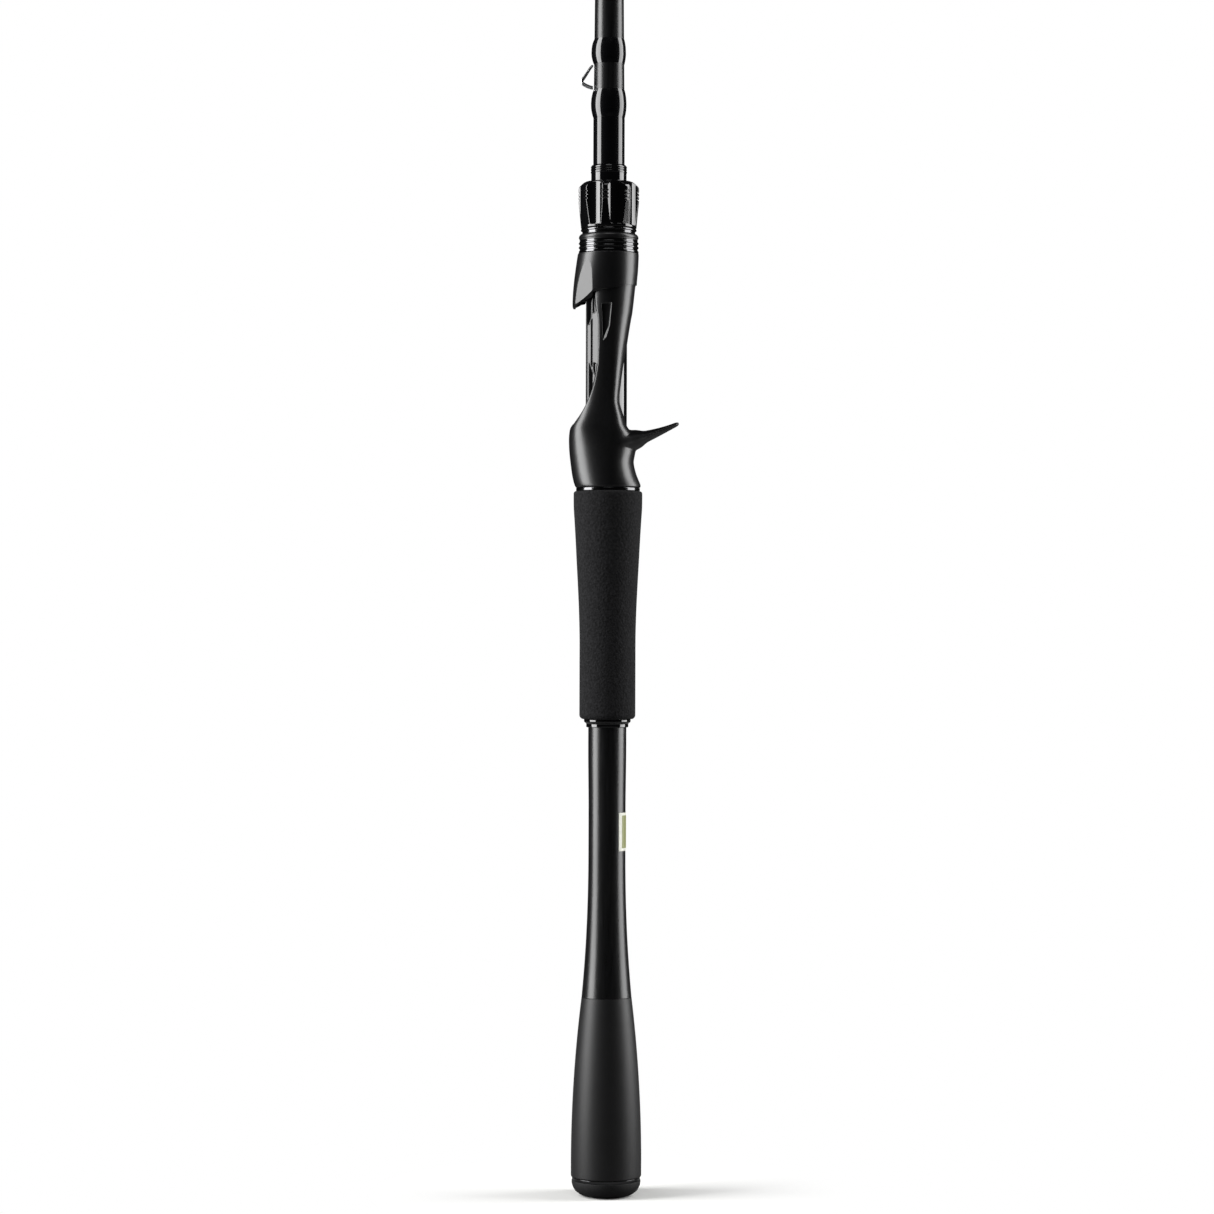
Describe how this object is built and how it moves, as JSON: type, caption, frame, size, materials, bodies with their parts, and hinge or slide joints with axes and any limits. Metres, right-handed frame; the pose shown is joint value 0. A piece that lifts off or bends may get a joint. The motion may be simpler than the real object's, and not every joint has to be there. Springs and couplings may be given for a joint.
{
  "type": "casting rod handle section",
  "caption": "Handle section of a casting rod: trigger reel seat with sliding hood and locking nut, foam and matte grips, keeper, and a ferrule for the next section.",
  "frame": {"origin": "centre of the small flat on the bottom of the butt cap, on the rod's axis", "axes": "+Z along the rod towards the tip, +X towards the trigger, -X towards the reel, +Y completes a right-handed frame"},
  "size_m": [0.0462, 0.0296, 0.5954],
  "materials": {
    "cap_rubber": "closed-cell rubber cap, fine speckle, near black",
    "gloss_trim": "polished black trim rings and ribbed bands",
    "butt_skin": "matte grey-black coated butt grip",
    "tube_carbon": "satin black lacquered carbon tube",
    "grip_foam": "dense charcoal EVA foam, fine cell texture",
    "seat_moulding": "satin black glass-filled nylon moulding",
    "nut_gloss": "gloss black moulded nut and winding checks",
    "inner_filler": "unseen plugs, arbors and thread sleeve",
    "label_paper": "blank two-tone adhesive label",
    "wrap_epoxy": "black thread binding under clear gloss epoxy",
    "keeper_steel": "polished stainless wire",
    "blank_carbon": "satin black sanded carbon blank"
  },
  "bodies": {
    "handle": {"butt_cap": "cap_rubber", "butt_trim_ring": "gloss_trim", "butt_plug": "inner_filler", "butt_grip": "butt_skin", "handle_tube": "tube_carbon", "shaft_label": "label_paper", "rear_check": "nut_gloss", "rear_grip": "grip_foam", "seat_trim_ring": "gloss_trim", "rear_arbor": "inner_filler", "reel_seat": "seat_moulding", "front_arbor": "inner_filler", "front_check": "nut_gloss", "grip_sleeve": "wrap_epoxy", "lower_wrap": "wrap_epoxy", "upper_wrap": "wrap_epoxy", "blank": "blank_carbon", "hook_keeper": "keeper_steel", "ferrule_spigot": "blank_carbon", "end_wrap": "wrap_epoxy"},
    "hood": {"hood": "seat_moulding", "hood_band": "gloss_trim", "thrust_ring": "seat_moulding", "nut_washer": "gloss_trim"},
    "nut": {"locking_nut": "nut_gloss", "nut_thread_sleeve": "inner_filler"}
  },
  "joints": [
    {"name": "hood_slide", "type": "slide", "parent": "handle", "child": "hood", "axis": [0, 0, -1], "range_m": [0, 0.0105]},
    {"name": "nut_turn", "type": "hinge", "parent": "hood", "child": "nut", "pos_m": [0, 0, 0.4058], "axis": [0, 0, -1], "range_deg": [0, 1890]}
  ],
  "couplings": [
    {"joint": "hood_slide", "follows": "nut_turn", "m_per_rad": 0.00031831}
  ]
}
